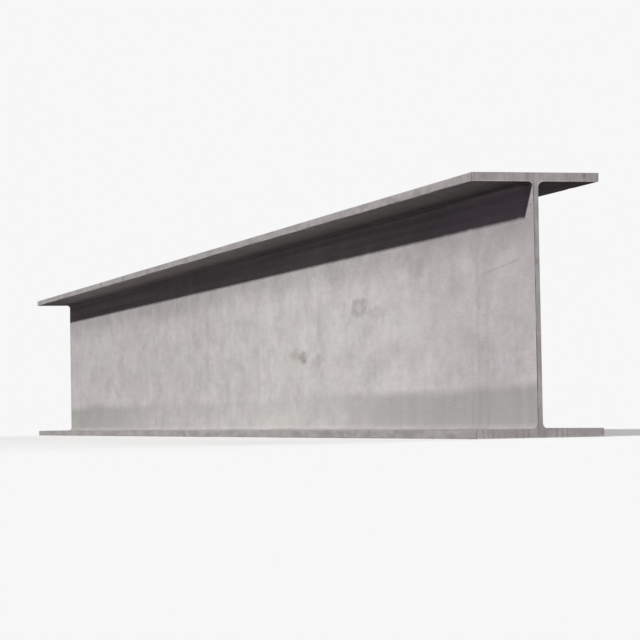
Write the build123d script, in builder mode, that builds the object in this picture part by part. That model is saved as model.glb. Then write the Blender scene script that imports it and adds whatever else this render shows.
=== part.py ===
"""A hot-rolled steel H-beam, rolled as one piece and sawn to its stock length.

The section lies in the XZ plane, with X across the flanges and Z up the web.
The beam runs along Y and lies on its bottom flange. The origin is in the
middle of the bottom flange's underside.
"""

import os

from build123d import *

# Rolled section, in millimetres
section_depth = 588.0  # outer face of one flange to outer face of the other
flange_width = 300.0
flange_thickness = 20.0
web_thickness = 12.0
root_radius = 13.0  # fillet where the web runs into a flange
toe_radius = 2.0  # soft corner that the rolls leave on a flange tip

# Stock length, between the two sawn ends
beam_length = 6000.0

# Heights of the parts of the section above the floor
web_height = section_depth - 2 * flange_thickness
bottom_flange_middle = flange_thickness / 2
top_flange_middle = section_depth - flange_thickness / 2

# A vertex counts as lying on a face when it is this near to it
pick_tolerance = 0.01

with BuildPart() as h_beam:
    # Cross-section: the web, with a flange across its foot and its head
    with BuildSketch(Plane.XZ) as section:
        with Locations((0, section_depth / 2)):
            Rectangle(web_thickness, web_height)
        with Locations((0, bottom_flange_middle), (0, top_flange_middle)):
            Rectangle(flange_width, flange_thickness)

        # The four corners where the web meets the flanges are full fillets
        web_side = web_thickness / 2 + pick_tolerance
        root_corners = section.vertices().filter_by_position(Axis.X, -web_side, web_side)
        fillet(root_corners, radius=root_radius)

        # The eight corners of the flange tips are barely rounded
        columns = section.vertices().group_by(Axis.X)
        fillet(columns[0] + columns[-1], radius=toe_radius)

    # Both ends are sawn square to the length
    extrude(amount=beam_length / 2, both=True)

h_beam.part.label = "h_beam"

os.makedirs("parts", exist_ok=True)
export_step(h_beam.part, "parts/h_beam.step")
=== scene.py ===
"""Looks of the steel H-beam: its rolled and sawn surfaces, the floor, the light and the camera."""

import math
import random
from collections import namedtuple

import bpy
from mathutils import Matrix, Vector, geometry, noise


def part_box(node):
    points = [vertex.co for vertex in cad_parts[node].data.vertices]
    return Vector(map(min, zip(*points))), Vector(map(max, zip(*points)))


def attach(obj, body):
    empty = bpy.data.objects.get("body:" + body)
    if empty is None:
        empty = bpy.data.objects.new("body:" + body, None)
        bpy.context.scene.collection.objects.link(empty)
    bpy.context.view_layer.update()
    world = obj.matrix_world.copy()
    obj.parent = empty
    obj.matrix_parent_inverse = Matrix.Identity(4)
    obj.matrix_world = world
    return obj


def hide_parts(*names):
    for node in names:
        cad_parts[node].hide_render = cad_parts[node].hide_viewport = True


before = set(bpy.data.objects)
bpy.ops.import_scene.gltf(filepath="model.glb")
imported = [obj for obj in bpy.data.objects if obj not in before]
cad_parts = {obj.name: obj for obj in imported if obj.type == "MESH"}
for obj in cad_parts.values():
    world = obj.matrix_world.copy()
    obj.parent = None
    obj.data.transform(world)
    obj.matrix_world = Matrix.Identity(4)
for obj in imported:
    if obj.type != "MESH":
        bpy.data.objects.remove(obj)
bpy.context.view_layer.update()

# The rolled section, with the same sizes as the solid, in metres
LOW, HIGH = (Vector(corner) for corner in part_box("h_beam"))
HALF_WIDTH = (HIGH.x - LOW.x) / 2
HALF_DEPTH = (HIGH.z - LOW.z) / 2
HALF_LENGTH = (HIGH.y - LOW.y) / 2
MIDDLE_HEIGHT = (HIGH.z + LOW.z) / 2
FLANGE_THICKNESS = 0.020
HALF_WEB = 0.006
ROOT_RADIUS = 0.013
TOE_RADIUS = 0.002

# How finely the surface is cut up
ROOT_STEPS = 7
TOE_STEPS = 3
COARSE_STEP = 0.027  # across the section, along most of the length
FINE_STEP = 0.005  # across the section, close to the sawn ends
SLICE_STEP = 0.021  # along the length
CLOSEST_SLICES = 0.002
END_RINGS = (0.0014, 0.005, 0.012, 0.026)  # fine rings behind a sawn end
END_GAP = 0.018  # from the last fine ring to the first coarse slice
SAWN_STEP = 0.0017  # grid of the sawn faces
SAME_PLACE = 1e-7  # grid points closer than this are one
SHARP_ANGLE = 38  # degrees, above which an edge is shaded as sharp

# Relief of the rolled faces
LONG_WAVE = 0.0005
SHORT_WAVE = 0.00012
TOE_WANDER = 0.0008

# Dents on the flange toes
NICK_SEED = 11
NICK_COUNT = 34
NICK_CROWDING = 1.8  # above 1, more of them lie towards the ends
NICK_MARGIN = 0.012  # clear of a sawn end
NICK_HALF_LENGTHS = (0.005, 0.020)
NICK_DEPTHS = (0.0006, 0.0019)
NICK_REACH = 0.007  # how far round a toe a nick spreads in the section
NICK_FADE = 2.5  # half lengths from its middle, where a nick has died out
NICK_SLICES = (-1.6, -1.0, -0.5, 0.0, 0.5, 1.0, 1.6)  # its extra slices, in half lengths

# Relief of the sawn faces
SAW_CENTRE = (-0.85, 0.95)  # centre of the blade's arcs, across and up
SAW_PITCH = 0.0068
SAW_DEPTH = 0.00016
SAW_RECESS = 0.0011  # from the burr's crest back to the sawn face
BURR_WIDTH = 0.0009

# The mesh's two materials
ROLLED = 0
SAWN = 1

# Colours of the rolled faces
DUST = (0.422, 0.414, 0.404)
PINK_DUST = (0.431, 0.403, 0.409)
PALE_DUST = (0.466, 0.463, 0.445)
PALE_PINK_DUST = (0.478, 0.455, 0.450)
PALE_COOL_DUST = (0.456, 0.470, 0.460)
BARE_SCALE = (0.132, 0.119, 0.123)
BROWN_SCALE = (0.146, 0.128, 0.121)
# painted shade tint for the top flange's shadow on the web
VIOLET_SHADE = (0.50, 0.405, 0.470)
GREY_GREEN_FOOT = (0.258, 0.262, 0.245)
RUN_OFF_STAIN = (0.215, 0.205, 0.205)
SCRATCH = (0.20, 0.18, 0.19)
SCUFF = (0.56, 0.55, 0.54)
RING = (0.24, 0.220, 0.236)
SETTLED_DUST = (0.50, 0.478, 0.460)
PUDDLE = (0.275, 0.238, 0.212)
TIDE_LINE = (0.240, 0.200, 0.175)
RUST = (0.190, 0.130, 0.098)
RUBBED_TOE = (0.44, 0.428, 0.415)

# Colours of the sawn faces
SAWN_STEEL = (0.672, 0.652, 0.632)
DULL_SAWN_STEEL = (0.570, 0.545, 0.527)
SAWN_STREAK = (0.350, 0.300, 0.280)
SAWN_RUST = (0.205, 0.145, 0.112)

# Marks that the photograph shows on the left of the web. Along is from the near end, up is from
# the beam's foot, and y is from the middle of the length.
RunOff = namedtuple("RunOff", "along half_width top")
RUN_OFFS = (
    RunOff(0.335, 0.017, 0.46),
    RunOff(0.400, 0.019, 0.47),
    RunOff(0.448, 0.013, 0.30),
)
RING_PLACE = (-1.595, 0.352)  # y and up
Spot = namedtuple("Spot", "y up half_length half_height strength colour")
SPOTS = (
    Spot(*RING_PLACE, 0.078, 0.029, 0.24, RING),
    Spot(-1.745, 0.335, 0.095, 0.032, 0.34, (0.25, 0.235, 0.240)),
    Spot(-0.990, 0.231, 0.056, 0.024, 0.66, (0.220, 0.200, 0.172)),
    Spot(-0.905, 0.242, 0.080, 0.024, 0.24, (0.26, 0.235, 0.212)),
    Spot(-1.150, 0.213, 0.080, 0.026, 0.28, (0.27, 0.23, 0.26)),
    Spot(-1.180, 0.345, 0.060, 0.150, 0.20, (0.27, 0.24, 0.26)),
    Spot(-1.690, 0.180, 0.130, 0.070, 0.24, (0.28, 0.26, 0.23)),
    Spot(-1.510, 0.228, 0.075, 0.036, 0.24, (0.28, 0.25, 0.24)),
    Spot(-2.125, 0.430, 0.110, 0.036, 0.30, (0.28, 0.24, 0.25)),
    Spot(-1.400, 0.440, 0.110, 0.040, 0.26, (0.27, 0.27, 0.25)),
    Spot(-2.070, 0.295, 0.260, 0.062, 0.45, (0.50, 0.497, 0.480)),
    Spot(-2.060, 0.200, 0.150, 0.050, 0.45, (0.47, 0.420, 0.430)),
    Spot(-1.140, 0.430, 0.050, 0.045, 0.50, (0.51, 0.49, 0.510)),
)

# Floor, light and surroundings
FLOOR_HALF_SIDE = 600.0
FLOOR_COLOUR = (0.800, 0.814, 0.810)
FLOOR_GLOW = (1.0, 1.0, 0.921)
FLOOR_GLOW_STRENGTH = 0.207
KEY_COLOUR = (1.0, 0.98, 0.965)
FILL_COLOUR = (0.94, 0.95, 0.98)
DOME_LOW = (0.112, 0.100, 0.106)
DOME_HIGH = (0.178, 0.170, 0.198)
BACKGROUND = (0.93, 0.93, 0.93)  # the lit floor is as bright

# Sockets of the Mix node when it mixes colours
MIX_FIRST = 6
MIX_SECOND = 7
MIX_RESULT = 2


def arc(centre_x, centre_z, radius, start, end, steps):
    """Points on an arc of the section, between two angles in degrees."""
    points = []
    for step in range(steps + 1):
        angle = math.radians(start + (end - start) * step / steps)
        points.append((centre_x + radius * math.cos(angle), centre_z + radius * math.sin(angle)))
    return points


def section_corners():
    """The section's outline from its centre, anticlockwise as the near end shows it."""
    inner = HALF_DEPTH - FLANGE_THICKNESS
    toe_x = HALF_WIDTH - TOE_RADIUS
    quarter = arc(HALF_WEB + ROOT_RADIUS, inner - ROOT_RADIUS, ROOT_RADIUS, 180, 90, ROOT_STEPS)
    quarter += arc(toe_x, inner + TOE_RADIUS, TOE_RADIUS, -90, 0, TOE_STEPS)
    quarter += arc(toe_x, HALF_DEPTH - TOE_RADIUS, TOE_RADIUS, 0, 90, TOE_STEPS)
    upper_left = [(-x, z) for x, z in reversed(quarter)]
    lower_left = [(-x, -z) for x, z in quarter]
    lower_right = [(x, -z) for x, z in reversed(quarter)]
    return quarter + upper_left + lower_left + lower_right


def divide(loop, longest):
    """The same closed loop with no side longer than that, and each old corner's place in it."""
    points, places = [], []
    for (ax, az), (bx, bz) in zip(loop, loop[1:] + loop[:1]):
        places.append(len(points))
        count = max(1, math.ceil(math.hypot(bx - ax, bz - az) / longest))
        for step in range(count):
            share = step / count
            points.append((ax + (bx - ax) * share, az + (bz - az) * share))
    return points, places


def outward(loop):
    """The outward direction at each point of an anticlockwise loop."""
    directions = []
    for (ax, az), (bx, bz) in zip(loop[-1:] + loop[:-1], loop[1:] + loop[:1]):
        directions.append(Vector((bz - az, ax - bx)).normalized())
    return directions


def make_nicks(source):
    """Dents that handling leaves on the flange toes, more of them towards the ends."""
    nicks = []
    for _ in range(NICK_COUNT):
        share = 1 - source.random() ** NICK_CROWDING
        place = source.choice((-1, 1)) * (HALF_LENGTH - NICK_MARGIN) * share
        side = source.choice((-1, 1))
        flange = source.choice((-1, 1))
        corner = source.choice((HALF_DEPTH, HALF_DEPTH - FLANGE_THICKNESS))
        nicks.append({
            "y": place,
            "x": side * HALF_WIDTH,
            "z": flange * corner,
            "into_flange": -flange if corner == HALF_DEPTH else flange,
            "half_length": source.uniform(*NICK_HALF_LENGTHS),
            "depth": source.uniform(*NICK_DEPTHS),
        })
    return nicks


def rolls_noise(x, y, z, across, along, shift=0.0):
    """Noise on the rolled faces, with so many cells to a metre across and along."""
    return noise.noise(Vector((x * across, y * along, z * across + shift)))


def toe_wander(x, y, z):
    """How far a flange's toe wanders out, or in where it is negative."""
    slow = noise.noise(Vector((x * 90, y * 6, z * 4)))
    quick = noise.noise(Vector((x, y * 31, z * 4)))
    return TOE_WANDER * (slow + 0.5 * quick - 0.7)


def rolled_point(x, z, direction, y, nicks):
    """Where a point of the section lies at one place along the length, with the rolls' relief."""
    wave = LONG_WAVE * rolls_noise(x, y, z, across=5, along=1.7)
    wave += SHORT_WAVE * rolls_noise(x, y, z, across=30, along=14, shift=9)
    if abs(direction.x) > 0.5 and abs(x) > HALF_WIDTH / 2:
        wave += toe_wander(x, y, z)
    point = Vector((x, z)) + direction * wave

    for nick in nicks:
        along = abs(y - nick["y"]) / nick["half_length"]
        if along < NICK_FADE:
            away = math.hypot(x - nick["x"], z - nick["z"]) / NICK_REACH
            push = nick["depth"] * math.exp(-along * along - away * away)
            point.x -= math.copysign(push, nick["x"])
            point.y += push * 0.5 * nick["into_flange"]

    across = min(max(point.x, -HALF_WIDTH), HALF_WIDTH)
    up = min(max(point.y, -HALF_DEPTH), HALF_DEPTH)
    return Vector((across, y, up + MIDDLE_HEIGHT))


def burr_height(x, z, direction, end):
    """How far the saw's ragged burr stands, most where the blade leaves the steel."""
    leaving = 0.8 * max(0.0, -direction.y) + 0.5 * max(0.0, end * direction.x)
    ragged = noise.noise(Vector((x * 75, end * 5, z * 75)))
    ragged += 0.5 * noise.noise(Vector((x * 260, end * 9, z * 260)))
    share = leaving * (0.75 + 0.9 * ragged)
    return SAW_RECESS * min(1.0, max(0.0, share))


def arris_points(outline, directions, end, nicks):
    """The arris of a sawn end. The burr's crest just reaches the end of the CAD box."""
    points = []
    for (x, z), out in zip(outline, directions):
        y = end * (HALF_LENGTH - SAW_RECESS + burr_height(x, z, out, end))
        points.append(rolled_point(x, z, out, y, nicks))
    crest = max(abs(point.y) for point in points)
    for point in points:
        if abs(point.y) == crest:
            point.y = end * HALF_LENGTH
    return points


def sawn_depth(x, z, end):
    """How far the sawn face lies in from the end of the CAD box."""
    radius = math.hypot(x - end * SAW_CENTRE[0], z - SAW_CENTRE[1])
    chatter = noise.noise(Vector((radius * 45, end * 3, 0))) * 2.2
    teeth = math.sin(2 * math.pi * radius / SAW_PITCH + chatter)
    broad = noise.noise(Vector((x * 12, end * 7, z * 12)))
    return SAW_RECESS + SAW_DEPTH * (teeth + 1.4 * broad)


def sawn_point(place, end):
    """A point of the section, set on the sawn face."""
    y = end * (HALF_LENGTH - sawn_depth(place.x, place.y, end))
    return Vector((place.x, y, place.y + MIDDLE_HEIGHT))


def inside_section(x, z, margin):
    """Whether a point lies in the flanges or the web, at least the margin from their faces."""
    from_flange_middle = abs(abs(z) - (HALF_DEPTH - FLANGE_THICKNESS / 2))
    in_flange = from_flange_middle < FLANGE_THICKNESS / 2 - margin and abs(x) < HALF_WIDTH - margin
    in_web = abs(x) < HALF_WEB - margin and abs(z) < HALF_DEPTH - FLANGE_THICKNESS + margin
    return in_flange or in_web


def sawn_grid():
    """The points of a square grid that lie in the section, clear of the sawn face's lip."""
    rows = int(HALF_DEPTH / SAWN_STEP)
    columns = int(HALF_WIDTH / SAWN_STEP)
    margin = BURR_WIDTH + SAWN_STEP / 2
    points = []
    for row in range(-rows, rows + 1):
        for column in range(-columns, columns + 1):
            x, z = column * SAWN_STEP, row * SAWN_STEP
            if inside_section(x, z, margin):
                points.append((x, z))
    return points


def slice_places(nicks):
    """Places of the coarse slices along the length, closer together at each nick."""
    end = HALF_LENGTH - END_RINGS[-1] - END_GAP
    count = round(2 * end / SLICE_STEP)
    places = [-end + 2 * end * step / count for step in range(count + 1)]
    for nick in nicks:
        for share in NICK_SLICES:
            place = nick["y"] + share * nick["half_length"]
            nearest = min(abs(place - other) for other in places)
            if abs(place) < end - CLOSEST_SLICES and nearest > CLOSEST_SLICES:
                places.append(place)
    return sorted(places)


class BeamMesh:
    """The beam's closed surface, gathered ring by ring."""

    def __init__(self):
        self.points = []
        self.faces = []
        self.finishes = []  # ROLLED or SAWN for each face

    def add_ring(self, points):
        """Adds points and gives their indices."""
        first = len(self.points)
        self.points += points
        return list(range(first, len(self.points)))

    def add_slice(self, outline, directions, y, nicks):
        """Adds one slice of the rolled length."""
        pairs = zip(outline, directions)
        return self.add_ring([rolled_point(x, z, out, y, nicks) for (x, z), out in pairs])

    def add_face(self, corners, finish=ROLLED):
        self.faces.append(corners)
        self.finishes.append(finish)

    def join(self, near, far, finish=ROLLED):
        """Quads between two rings with the same number of points, the far one at the higher y."""
        for a, b, c, d in zip(near, near[1:] + near[:1], far[1:] + far[:1], far):
            self.add_face((a, d, c, b), finish)

    def join_outward(self, inner, outer, end, finish=ROLLED):
        """Quads from a ring to the next one towards an end."""
        if end < 0:
            self.join(outer, inner, finish)
        else:
            self.join(inner, outer, finish)

    def join_fine(self, coarse, fine, places, end):
        """Faces between a coarse ring and a fine one towards an end, which has points between."""
        stops = places[1:] + [len(fine)]
        for a, b, first, last in zip(coarse, coarse[1:] + coarse[:1], places, stops):
            run = [fine[index % len(fine)] for index in range(first, last + 1)]
            corners = [a] + run + [b] if end > 0 else [b] + run[::-1] + [a]
            self.add_face(tuple(corners))

    def cap(self, ring, outline, directions, end):
        """The sawn face: a lip inside the arris, and then a fine grid with the blade's marks."""
        lip = []
        for (x, z), out in zip(outline, directions):
            lip.append((x - out.x * BURR_WIDTH, z - out.y * BURR_WIDTH))
        flat = [Vector(point) for point in lip + sawn_grid()]
        loop = list(range(len(lip)))
        edges = list(zip(loop, loop[1:] + loop[:1]))
        only_inside = 1
        found = geometry.delaunay_2d_cdt(flat, edges, [loop], only_inside, SAME_PLACE)
        places, _, triangles, sources = found[:4]

        indices = self.add_ring([sawn_point(place, end) for place in places])
        lip_ring = [None] * len(lip)
        for index, origins in zip(indices, sources):
            for origin in origins:
                if origin < len(lip):
                    lip_ring[origin] = index
        for triangle in triangles:
            corners = [indices[corner] for corner in triangle]
            self.add_face(tuple(corners if end < 0 else corners[::-1]), SAWN)
        self.join_outward(ring, lip_ring, end, SAWN)


def gather_surface():
    """The whole surface: the rolled length, a few fine rings at each end, and the sawn faces."""
    nicks = make_nicks(random.Random(NICK_SEED))
    coarse, _ = divide(section_corners(), COARSE_STEP)
    fine, places = divide(coarse, FINE_STEP)
    coarse_out = outward(coarse)
    fine_out = outward(fine)
    mesh = BeamMesh()

    rings = [mesh.add_slice(coarse, coarse_out, y, nicks) for y in slice_places(nicks)]
    for near, far in zip(rings, rings[1:]):
        mesh.join(near, far)

    for end, coarse_ring in ((-1, rings[0]), (1, rings[-1])):
        fine_rings = []
        for depth in reversed(END_RINGS):
            y = end * (HALF_LENGTH - depth)
            fine_rings.append(mesh.add_slice(fine, fine_out, y, nicks))
        fine_rings.append(mesh.add_ring(arris_points(fine, fine_out, end, nicks)))

        mesh.join_fine(coarse_ring, fine_rings[0], places, end)
        for inner, outer in zip(fine_rings, fine_rings[1:]):
            mesh.join_outward(inner, outer, end)
        mesh.cap(fine_rings[-1], fine, fine_out, end)
    return mesh


def build_beam():
    """The beam as one closed mesh, inside the CAD box."""
    mesh = gather_surface()
    data = bpy.data.meshes.new("h_beam_steel")
    data.from_pydata(mesh.points, [], mesh.faces)
    data.polygons.foreach_set("material_index", mesh.finishes)
    data.shade_smooth()
    data.set_sharp_from_angle(angle=math.radians(SHARP_ANGLE))
    data.validate()
    beam = bpy.data.objects.new("h_beam_steel", data)
    bpy.context.collection.objects.link(beam)
    even = beam.modifiers.new("even_flats", "WEIGHTED_NORMAL")
    even.keep_sharp = True
    return beam


class Finish:
    """A material's nodes, with short calls for the ones that it needs."""

    def __init__(self, name):
        self.material = bpy.data.materials.new(name)
        self.material.use_nodes = True
        self.nodes = self.material.node_tree.nodes
        self.links = self.material.node_tree.links
        self.shader = self.nodes["Principled BSDF"]
        self.place = self.nodes.new("ShaderNodeTexCoord").outputs["Object"]
        normal = self.nodes.new("ShaderNodeNewGeometry").outputs["Normal"]
        self.x, self.y, self.z = self.split(self.place)
        self.facing_x, _, self.facing_z = self.split(normal)

    def feed(self, value, socket):
        """Sets a socket to a number or colour, or links it to another node's output."""
        if isinstance(value, bpy.types.NodeSocket):
            self.links.new(value, socket)
        elif isinstance(value, tuple) and len(socket.default_value) == 4:
            socket.default_value = (*value, 1.0)
        else:
            socket.default_value = value

    def split(self, vector):
        node = self.nodes.new("ShaderNodeSeparateXYZ")
        self.links.new(vector, node.inputs[0])
        return node.outputs

    def math(self, operation, first, second=0.0, third=0.0):
        node = self.nodes.new("ShaderNodeMath")
        node.operation = operation
        for value, socket in zip((first, second, third), node.inputs):
            self.feed(value, socket)
        return node.outputs[0]

    def plus(self, first, second):
        return self.math("ADD", first, second)

    def minus(self, first, second):
        return self.math("SUBTRACT", first, second)

    def times(self, first, *others):
        for other in others:
            first = self.math("MULTIPLY", first, other)
        return first

    def line(self, value, slope, start):
        """The value times the slope, plus the start."""
        return self.math("MULTIPLY_ADD", value, slope, start)

    def size(self, value):
        return self.math("ABSOLUTE", value)

    def larger(self, first, second):
        return self.math("MAXIMUM", first, second)

    def hypot(self, first, second):
        squares = self.plus(self.times(first, first), self.times(second, second))
        return self.math("SQRT", squares)

    def swing(self, noise_value, range_width):
        """Noise turned into a number round 0, within a range of that width."""
        return self.line(noise_value, range_width, -range_width / 2)

    def spread(self, noise_value, amount):
        """Noise turned into a factor round 1, up and down by about the amount."""
        return self.line(noise_value, amount * 4, 1 - amount * 2)

    def factor(self, share, change):
        """1 where the share is 0, and 1 plus the change where the share is 1."""
        return self.line(share, change, 1.0)

    def noise(self, cell, detail, roughness, shift=0.0, tilt=0.0):
        """Noise round 0.5, with cells of that size in metres.

        The shift moves it in metres, and the tilt turns it in the web's plane, in degrees.
        """
        mapping = self.nodes.new("ShaderNodeMapping")
        mapping.vector_type = "TEXTURE"
        self.links.new(self.place, mapping.inputs["Vector"])
        mapping.inputs["Location"].default_value = (shift, shift * 0.7, shift * 1.3)
        mapping.inputs["Rotation"].default_value = (math.radians(tilt), 0.0, 0.0)
        mapping.inputs["Scale"].default_value = cell
        node = self.nodes.new("ShaderNodeTexNoise")
        node.inputs["Scale"].default_value = 1.0
        node.inputs["Detail"].default_value = detail
        node.inputs["Roughness"].default_value = roughness
        self.links.new(mapping.outputs[0], node.inputs["Vector"])
        return node.outputs["Fac"]

    def fade(self, value, start, end, top=1.0):
        """From 0 at the start to the top value at the end, eased."""
        node = self.nodes.new("ShaderNodeMapRange")
        node.interpolation_type = "SMOOTHSTEP"
        self.feed(value, node.inputs["Value"])
        node.inputs["From Min"].default_value = start
        node.inputs["From Max"].default_value = end
        node.inputs["To Max"].default_value = top
        return node.outputs["Result"]

    def mix(self, share, first, second, blend="MIX"):
        """The first colour where the share is 0, and the second where it is 1."""
        node = self.nodes.new("ShaderNodeMix")
        node.data_type = "RGBA"
        node.blend_type = blend
        self.feed(share, node.inputs[0])
        self.feed(first, node.inputs[MIX_FIRST])
        self.feed(second, node.inputs[MIX_SECOND])
        return node.outputs[MIX_RESULT]

    def shade(self, colour, amount):
        """The colour times a grey that is 1 where nothing changes."""
        grey = self.nodes.new("ShaderNodeCombineColor")
        for socket in grey.inputs[:3]:
            self.links.new(amount, socket)
        return self.mix(1.0, colour, grey.outputs[0], "MULTIPLY")

    def reach(self, y, up, half_length, half_height):
        """How far out of an ellipse on the web: 0 in its middle and 1 on its rim."""
        along = self.math("DIVIDE", self.minus(self.y, y), half_length)
        above = self.math("DIVIDE", self.minus(self.z, up + LOW.z), half_height)
        return self.hypot(along, above)

    def bump(self, height, depth, before=None):
        """A bumped normal, on top of the one before it."""
        node = self.nodes.new("ShaderNodeBump")
        node.inputs["Distance"].default_value = depth
        self.links.new(height, node.inputs["Height"])
        if before is not None:
            self.links.new(before, node.inputs["Normal"])
        return node.outputs[0]


def dusty_scale_and_shade(steel, below, left_web):
    """Mill scale under pale dust, pinker at the near end; thin dust and painted shade darken
    downward faces.
    """
    cloud = steel.noise((0.42, 1.60, 0.42), detail=5.0, roughness=0.6)
    mottle = steel.noise((0.09, 0.26, 0.09), detail=5.0, roughness=0.62, shift=3.0)
    # Downward faces get little dust and dark bare scale: partly real, partly painted shade under
    # the flanges.
    share = steel.line(below, -0.90, 0.95)
    share = steel.plus(share, steel.swing(cloud, 0.24))
    share = steel.plus(share, steel.swing(mottle, 0.24))
    share = steel.fade(share, 0.0, 1.0)

    near_end = steel.fade(steel.y, -1.0, -2.3)
    pink_patches = steel.noise((0.13, 0.30, 0.12), detail=5.0, roughness=0.62, shift=7.0)
    pink = steel.fade(steel.line(near_end, 0.15, pink_patches), 0.42, 0.70)
    dust = steel.mix(pink, DUST, PINK_DUST)

    pale = steel.times(steel.fade(steel.reach(-1.05, 0.30, 1.70, 0.50), 1.0, 0.32), left_web)
    pale_dust = steel.mix(pink, PALE_DUST, PALE_PINK_DUST)
    cool_patches = steel.noise((0.11, 0.20, 0.09), detail=4.0, roughness=0.62, shift=8.0)
    pale_dust = steel.mix(steel.fade(cool_patches, 0.50, 0.68, 0.75), pale_dust, PALE_COOL_DUST)
    dust = steel.mix(pale, dust, pale_dust)

    brown_patches = steel.noise((0.07, 0.80, 0.07), detail=4.0, roughness=0.6, shift=5.0)
    scale = steel.mix(steel.fade(brown_patches, 0.42, 0.66), BARE_SCALE, BROWN_SCALE)
    return steel.mix(share, scale, dust), share


def weathering(steel, flakes, on_web, on_toe, height, below):
    """A grey factor round 1: flakes of scale, blotches, run-off, roll lines, streaks and grain."""
    by_end = steel.fade(steel.size(steel.y), 1.6, HALF_LENGTH)
    # Downward faces darker near the near end and lighter towards the far end.
    near_below = steel.times(steel.fade(steel.y, -1.6, -HALF_LENGTH), below)
    far_below = steel.times(steel.fade(steel.y, -0.8, 1.3), below)
    blotches = steel.noise((0.22, 0.60, 0.20), detail=5.0, roughness=0.62, shift=21.0)
    mottle = steel.noise((0.08, 0.15, 0.075), detail=4.0, roughness=0.60, shift=28.0)
    spots = steel.noise((0.024, 0.050, 0.024), detail=4.0, roughness=0.65, shift=22.0)
    grain = steel.noise((0.0050, 0.0100, 0.0050), detail=3.0, roughness=0.65, shift=23.0)
    lines = steel.noise((0.012, 3.5, 0.012), detail=3.0, roughness=0.6, shift=26.0)

    runs = steel.noise((0.30, 0.075, 0.95), detail=5.0, roughness=0.68, shift=24.0)
    where_runs = steel.noise((0.50, 0.60, 0.35), detail=2.0, roughness=0.5, shift=25.0)
    runs = steel.times(steel.minus(runs, 0.5), steel.fade(where_runs, 0.35, 0.65), on_web)
    shade_zone = steel.larger(below, steel.times(steel.fade(height, 0.485, 0.505), on_web))
    streaks = steel.noise((0.016, 2.6, 0.016), detail=3.0, roughness=0.6, shift=27.0)
    streaks = steel.times(steel.minus(streaks, 0.5), shade_zone)
    # The web darker towards its top, under the top flange.
    under_top = steel.times(steel.fade(height, 0.395, 0.480), on_web)
    return steel.times(
        steel.line(flakes, -0.028, 1.013),
        steel.spread(blotches, 0.066),
        steel.spread(mottle, 0.115),
        steel.spread(spots, 0.072),
        steel.spread(grain, 0.060),
        steel.spread(lines, 0.014),
        steel.factor(runs, 0.34),
        steel.factor(streaks, 1.0),
        steel.factor(under_top, -0.21),
        steel.factor(by_end, -0.04),
        steel.factor(near_below, -0.22),
        steel.factor(far_below, 0.65),
        steel.factor(on_toe, -0.20),
    )


def grey_foot(steel, colour, height, on_web):
    """The web's lowest hand's breadth, greyer and greener, most towards the ends."""
    wander = steel.noise((0.30, 0.80, 0.30), detail=4.0, roughness=0.6, shift=9.0)
    band = steel.fade(steel.plus(height, steel.swing(wander, 0.06)), 0.132, 0.098)
    by_end = steel.fade(steel.size(steel.y), 0.8, 2.4)
    strength = steel.line(by_end, 0.52, 0.20)
    patches = steel.noise((0.3, 0.05, 0.6), detail=4.0, roughness=0.65, shift=10.0)
    patches = steel.line(patches, 0.80, 0.60)
    return steel.mix(steel.times(band, on_web, strength, patches), colour, GREY_GREEN_FOOT)


def painted_violet_shade(steel, colour, along, height, left):
    """Painted shade: violet where the top flange's shadow falls on the web, near the near end."""
    near_end = steel.times(steel.fade(along, 0.045, 0.090), steel.fade(along, 0.80, 0.30))
    shade_zone = steel.times(near_end, steel.fade(height, 0.486, 0.500), left)
    # Painted shade: the violet is mixed in where the flange's shadow falls.
    return steel.mix(steel.times(shade_zone, 0.50), colour, VIOLET_SHADE)


def run_off(steel, colour, along, height, left):
    """Run-off down the web, stronger in its foot."""
    sway = steel.noise((0.2, 0.2, 0.07), detail=3.0, roughness=0.6, shift=35.0)
    swayed = steel.plus(along, steel.swing(sway, 0.05))
    worn = steel.noise((0.2, 0.05, 0.09), detail=3.0, roughness=0.6, shift=36.0)
    worn = steel.fade(worn, 0.30, 0.60)
    wetter = steel.line(steel.fade(height, 0.13, 0.09), 0.18, 0.16)
    for run in RUN_OFFS:
        off = steel.size(steel.minus(swayed, run.along))
        beside = steel.fade(off, run.half_width, 0.001)
        below_top = steel.fade(height, run.top, run.top - 0.10)
        share = steel.times(beside, below_top, left, worn, wetter)
        colour = steel.mix(share, colour, RUN_OFF_STAIN)
    return colour


def scratches(steel, colour, along, height, left):
    """One slanted scratch near the end, and faint scuffs all over."""
    slope = steel.line(along, -0.075, 0.409)
    off = steel.size(steel.minus(height, slope))
    span = steel.times(steel.fade(along, 0.05, 0.14), steel.fade(along, 0.40, 0.30))
    scratch = steel.times(steel.fade(off, 0.0036, 0.0012), span, left)
    colour = steel.mix(steel.times(scratch, 0.24), colour, SCRATCH)

    for tilt, shift in ((7.0, 31.0), (-11.0, 32.0)):
        scuff = steel.noise((0.4, 0.55, 0.0035), detail=2.0, roughness=0.5, shift=shift, tilt=tilt)
        colour = steel.mix(steel.fade(scuff, 0.70, 0.77, 0.16), colour, SCUFF)
    return colour


def ring_and_spots(steel, colour, left):
    """A broken ring on the web, and spots with ragged edges."""
    ragged = steel.noise((0.022, 0.046, 0.018), detail=5.0, roughness=0.66, shift=34.0)
    ragged = steel.swing(ragged, 2.0)
    patches = steel.noise((0.014, 0.024, 0.014), detail=4.0, roughness=0.65, shift=37.0)
    patches = steel.line(patches, 1.9, 0.05)
    rim = steel.minus(steel.plus(steel.reach(*RING_PLACE, 0.056, 0.020), ragged), 0.95)
    ring = steel.times(steel.fade(steel.size(rim), 0.70, 0.10, 0.36), patches, left)
    colour = steel.mix(ring, colour, RING)

    for spot in SPOTS:
        out = steel.reach(spot.y, spot.up, spot.half_length, spot.half_height)
        inside = steel.fade(steel.plus(out, ragged), 1.1, 0.2, spot.strength)
        colour = steel.mix(steel.times(inside, patches, left), colour, spot.colour)
    return colour


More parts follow.
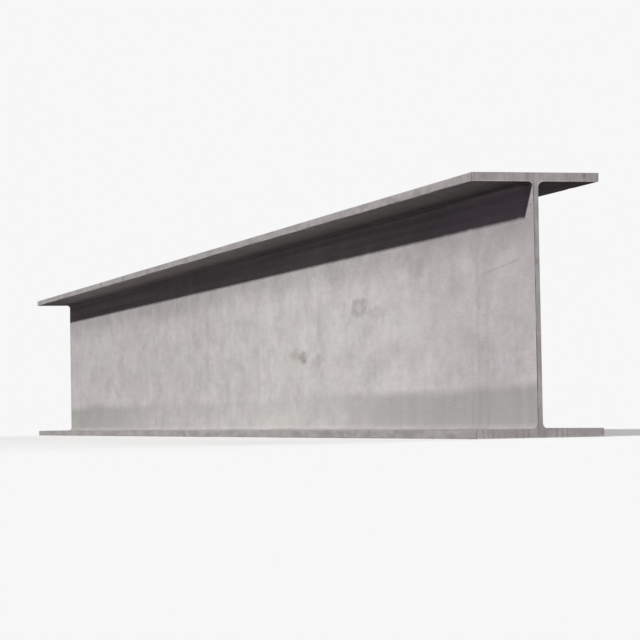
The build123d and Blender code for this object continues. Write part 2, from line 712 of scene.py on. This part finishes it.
def web_marks(steel, colour, height, left):
    """What the photograph shows on the web: painted violet shade, run-off, a scratch, a ring and
    spots.

    Along is measured from the near end and height from the beam's foot, in metres.
    """
    along = steel.minus(steel.y, LOW.y)
    # Painted violet shade where the top flange's shadow falls.
    colour = painted_violet_shade(steel, colour, along, height, left)
    colour = run_off(steel, colour, along, height, left)
    colour = scratches(steel, colour, along, height, left)
    return ring_and_spots(steel, colour, left)


def dirt_and_wear(steel, colour, height, from_middle, above):
    """Dust in the foot of the web and on top, freckles of rust, and toes rubbed bright."""
    foot = steel.times(steel.fade(height, 0.036, 0.022), steel.fade(from_middle, 0.026, 0.012))
    settled = steel.larger(steel.times(foot, 0.14), steel.times(above, 0.30))
    colour = steel.mix(settled, colour, SETTLED_DUST)
    wet = steel.noise((0.12, 0.26, 0.12), detail=6.0, roughness=0.62, shift=41.0)
    tide = steel.fade(steel.size(steel.minus(wet, 0.50)), 0.022, 0.004, 0.26)
    colour = steel.mix(steel.times(steel.fade(wet, 0.48, 0.66), above, 0.42), colour, PUDDLE)
    colour = steel.mix(steel.times(tide, above), colour, TIDE_LINE)

    toe = steel.fade(from_middle, HALF_WIDTH - 0.012, HALF_WIDTH - 0.002)
    by_end = steel.fade(steel.size(steel.y), HALF_LENGTH - 0.06, HALF_LENGTH - 0.004)
    edge = steel.larger(steel.times(toe, 0.08), steel.times(by_end, 0.05))
    likely = steel.larger(edge, steel.times(above, 0.06))
    freckles = steel.noise((0.010, 0.015, 0.010), detail=4.0, roughness=0.7, shift=12.0)
    freckles = steel.fade(steel.plus(freckles, likely), 0.70, 0.80, 0.62)
    colour = steel.mix(freckles, colour, RUST)

    rubbed = steel.noise((0.025, 0.09, 0.025), detail=4.0, roughness=0.6, shift=14.0)
    rubbed = steel.times(toe, steel.fade(rubbed, 0.42, 0.60))
    return steel.mix(steel.times(rubbed, 0.34), colour, RUBBED_TOE), rubbed


def rolled_relief(steel, lines, flakes):
    """Fine relief of the rolled faces: pits, roll lines, flakes of scale and slight waves."""
    pits = steel.noise((0.0030, 0.0046, 0.0030), detail=4.0, roughness=0.62, shift=52.0)
    waves = steel.noise((0.05, 0.09, 0.05), detail=3.0, roughness=0.5, shift=53.0)
    relief = steel.bump(pits, 0.00035)
    relief = steel.bump(lines, 0.0003, relief)
    relief = steel.bump(flakes, 0.00012, relief)
    return steel.bump(waves, 0.0010, relief)


def rolled_finish():
    """Mill scale as rolled, gone dusty in the yard."""
    steel = Finish("mill_scale")
    above = steel.fade(steel.facing_z, 0.25, 0.8)
    below = steel.fade(steel.facing_z, -0.15, -0.7)
    left = steel.fade(steel.facing_x, -0.2, -0.6)
    upright = steel.fade(steel.size(steel.facing_x), 0.45, 0.85)
    height = steel.minus(steel.z, LOW.z)
    from_middle = steel.size(steel.x)
    on_web = steel.times(steel.fade(from_middle, 0.030, 0.018), upright)
    on_toe = steel.fade(from_middle, HALF_WIDTH - 0.010, HALF_WIDTH - 0.004)
    on_toe = steel.times(on_toe, upright)
    left_web = steel.times(left, on_web)

    # Dark downward faces: partly thin dust, partly painted shade.
    colour, dust_and_shade_share = dusty_scale_and_shade(steel, below, left_web)
    flakes = steel.noise((0.042, 0.075, 0.042), detail=7.0, roughness=0.70, shift=61.0)
    flakes = steel.fade(flakes, 0.485, 0.525)
    colour = steel.shade(colour, weathering(steel, flakes, on_web, on_toe, height, below))
    colour = grey_foot(steel, colour, height, on_web)
    colour = web_marks(steel, colour, height, left_web)
    colour, rubbed = dirt_and_wear(steel, colour, height, from_middle, above)
    steel.feed(colour, steel.shader.inputs["Base Color"])

    lines = steel.noise((0.006, 2.4, 0.006), detail=3.0, roughness=0.6, shift=51.0)
    rough = steel.line(dust_and_shade_share, 0.16, 0.56)
    rough = steel.plus(rough, steel.swing(lines, 0.24))
    rough = steel.line(flakes, -0.07, rough)
    rough = steel.minus(rough, steel.times(rubbed, 0.12))
    steel.feed(rough, steel.shader.inputs["Roughness"])
    metal = steel.line(dust_and_shade_share, -0.08, 0.10)
    metal = steel.larger(metal, steel.times(rubbed, 0.4))
    steel.feed(metal, steel.shader.inputs["Metallic"])
    steel.shader.inputs["Specular IOR Level"].default_value = 0.25
    steel.feed(rolled_relief(steel, lines, flakes), steel.shader.inputs["Normal"])
    return steel.material


def blade_arcs(steel):
    """Noise in fine rings round the saw blade's centre, which is mirrored for the far end."""
    end = steel.math("SIGN", steel.y)
    across = steel.minus(steel.x, steel.times(end, SAW_CENTRE[0]))
    up = steel.minus(steel.z, SAW_CENTRE[1] + MIDDLE_HEIGHT)
    radial = steel.nodes.new("ShaderNodeTexNoise")
    radial.noise_dimensions = "1D"
    radial.inputs["Scale"].default_value = 420.0
    radial.inputs["Detail"].default_value = 3.0
    steel.feed(steel.hypot(across, up), radial.inputs["W"])
    return radial.outputs["Fac"]


def sawn_finish():
    """Weathered sawn steel: arcs of the blade, brown streaks down them and dull grey between."""
    steel = Finish("sawn_steel")
    arcs = blade_arcs(steel)
    cloud = steel.noise((0.045, 0.2, 0.062), detail=4.0, roughness=0.6, shift=2.0)
    streaks = steel.noise((0.0060, 0.2, 0.150), detail=3.0, roughness=0.6, shift=4.0)
    grain = steel.noise((0.0022, 0.02, 0.0022), detail=2.0, roughness=0.6, shift=6.0)
    rust = steel.noise((0.034, 0.2, 0.045), detail=5.0, roughness=0.7, shift=9.0)
    colour = steel.mix(steel.fade(cloud, 0.38, 0.62), SAWN_STEEL, DULL_SAWN_STEEL)
    colour = steel.mix(steel.fade(streaks, 0.48, 0.68, 0.5), colour, SAWN_STREAK)
    colour = steel.shade(colour, steel.times(steel.spread(arcs, 0.08), steel.spread(grain, 0.09)))
    colour = steel.mix(steel.fade(rust, 0.56, 0.74, 0.5), colour, SAWN_RUST)
    steel.feed(colour, steel.shader.inputs["Base Color"])

    steel.feed(steel.line(arcs, 0.20, 0.42), steel.shader.inputs["Roughness"])
    steel.shader.inputs["Metallic"].default_value = 0.1
    steel.shader.inputs["Specular IOR Level"].default_value = 0.4
    relief = steel.bump(grain, 0.0003, steel.bump(arcs, 0.0006))
    steel.feed(relief, steel.shader.inputs["Normal"])
    return steel.material


def make_floor():
    """A wide pale floor, evenly bright, that throws little light back at the beam."""
    side = FLOOR_HALF_SIDE
    corners = [(-side, -side), (side, -side), (side, side), (-side, side)]
    data = bpy.data.meshes.new("floor")
    data.from_pydata([(x, y, LOW.z) for x, y in corners], [], [(0, 1, 2, 3)])
    floor = bpy.data.objects.new("floor", data)
    bpy.context.collection.objects.link(floor)
    material = bpy.data.materials.new("pale_floor")
    material.use_nodes = True
    shader = material.node_tree.nodes["Principled BSDF"]
    shader.inputs["Base Color"].default_value = (*FLOOR_COLOUR, 1.0)
    shader.inputs["Roughness"].default_value = 0.9
    shader.inputs["Specular IOR Level"].default_value = 0.0
    shader.inputs["Emission Color"].default_value = (*FLOOR_GLOW, 1.0)
    shader.inputs["Emission Strength"].default_value = FLOOR_GLOW_STRENGTH
    data.materials.append(material)
    floor.visible_diffuse = False
    floor.visible_glossy = False


def add_sun(name, travel, energy, spread, colour):
    """A light from far away that shines along one direction, with a soft edge in degrees."""
    light = bpy.data.lights.new(name, "SUN")
    light.energy = energy
    light.angle = math.radians(spread)
    light.color = colour
    holder = bpy.data.objects.new(name, light)
    holder.rotation_euler = Vector(travel).to_track_quat("-Z", "Y").to_euler()
    bpy.context.collection.objects.link(holder)


def make_dome():
    """Dim light from all round, a little brighter from above, that the camera sees as plain."""
    world = bpy.data.worlds.new("studio")
    bpy.context.scene.world = world
    world.use_nodes = True
    nodes, links = world.node_tree.nodes, world.node_tree.links
    place = nodes.new("ShaderNodeTexCoord")
    split = nodes.new("ShaderNodeSeparateXYZ")
    links.new(place.outputs["Generated"], split.inputs[0])
    climb = nodes.new("ShaderNodeMapRange")
    climb.inputs["From Min"].default_value = -0.30
    climb.inputs["From Max"].default_value = 0.20
    links.new(split.outputs["Z"], climb.inputs["Value"])
    dome = nodes.new("ShaderNodeMix")
    dome.data_type = "RGBA"
    dome.inputs[MIX_FIRST].default_value = (*DOME_LOW, 1.0)
    dome.inputs[MIX_SECOND].default_value = (*DOME_HIGH, 1.0)
    links.new(climb.outputs["Result"], dome.inputs[0])
    seen = nodes.new("ShaderNodeLightPath")
    choose = nodes.new("ShaderNodeMix")
    choose.data_type = "RGBA"
    choose.inputs[MIX_SECOND].default_value = (*BACKGROUND, 1.0)
    links.new(seen.outputs["Is Camera Ray"], choose.inputs[0])
    links.new(dome.outputs[MIX_RESULT], choose.inputs[MIX_FIRST])
    links.new(choose.outputs[MIX_RESULT], nodes["Background"].inputs["Color"])


def make_light():
    """A low key light from the front left, a soft fill from behind on the right, and a dim dome."""
    add_sun("key", travel=(1.0, 0.40, -0.54), energy=3.95, spread=3.0, colour=KEY_COLOUR)
    add_sun("fill", travel=(-1.0, -0.55, -0.45), energy=1.5, spread=50.0, colour=FILL_COLOUR)
    make_dome()


def make_camera():
    """The photograph's bearing on the beam, from as low as a beam on the floor allows."""
    near_end = Vector((0.0, LOW.y, LOW.z))
    place = near_end + Vector((-2.0, -5.5, 0.05))
    focal_pixels = 2640.0
    frame_pixels = 640.0
    bearing = math.radians(15.25)  # from the beam's length towards +X
    pitch = math.radians(2.15)
    roll = math.radians(-1.0)
    look = Vector((math.sin(bearing), math.cos(bearing), math.tan(pitch)))

    data = bpy.data.cameras.new("camera")
    data.sensor_width = 36.0
    data.lens = data.sensor_width * focal_pixels / frame_pixels
    data.clip_end = 2000.0
    camera = bpy.data.objects.new("camera", data)
    turn = look.to_track_quat("-Z", "Y").to_matrix().to_4x4()
    camera.matrix_world = Matrix.Translation(place) @ turn @ Matrix.Rotation(roll, 4, "Z")
    bpy.context.collection.objects.link(camera)
    bpy.context.scene.camera = camera


beam = build_beam()
beam.data.materials.append(rolled_finish())
beam.data.materials.append(sawn_finish())
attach(beam, "root")
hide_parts("h_beam")

make_floor()
make_light()
make_camera()
bpy.context.scene.view_settings.view_transform = "Standard"
